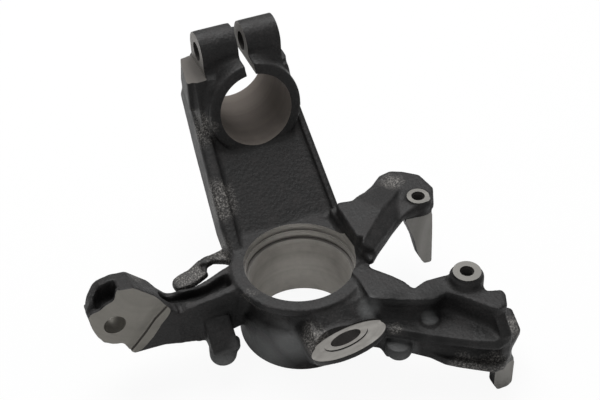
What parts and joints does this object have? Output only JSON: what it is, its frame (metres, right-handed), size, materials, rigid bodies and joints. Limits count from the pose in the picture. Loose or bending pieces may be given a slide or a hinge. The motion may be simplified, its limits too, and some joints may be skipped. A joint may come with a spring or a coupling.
{
  "type": "steering knuckle",
  "caption": "Cast-iron front steering knuckle with a pressed-bearing hub, split strut clamp, steering arm, ball-joint boss and caliper arms.",
  "frame": {"origin": "on the wheel axis, at the middle of the bearing seat", "axes": "+Z along the wheel axis, inboard; +Y up the car to the strut clamp; +X to the brake caliper"},
  "size_m": [0.2586, 0.2553, 0.1665],
  "materials": {
    "cast_iron": "sand-cast skin with machined seats and faces"
  },
  "bodies": {
    "root": {"steering_knuckle": "cast_iron"}
  },
  "joints": []
}
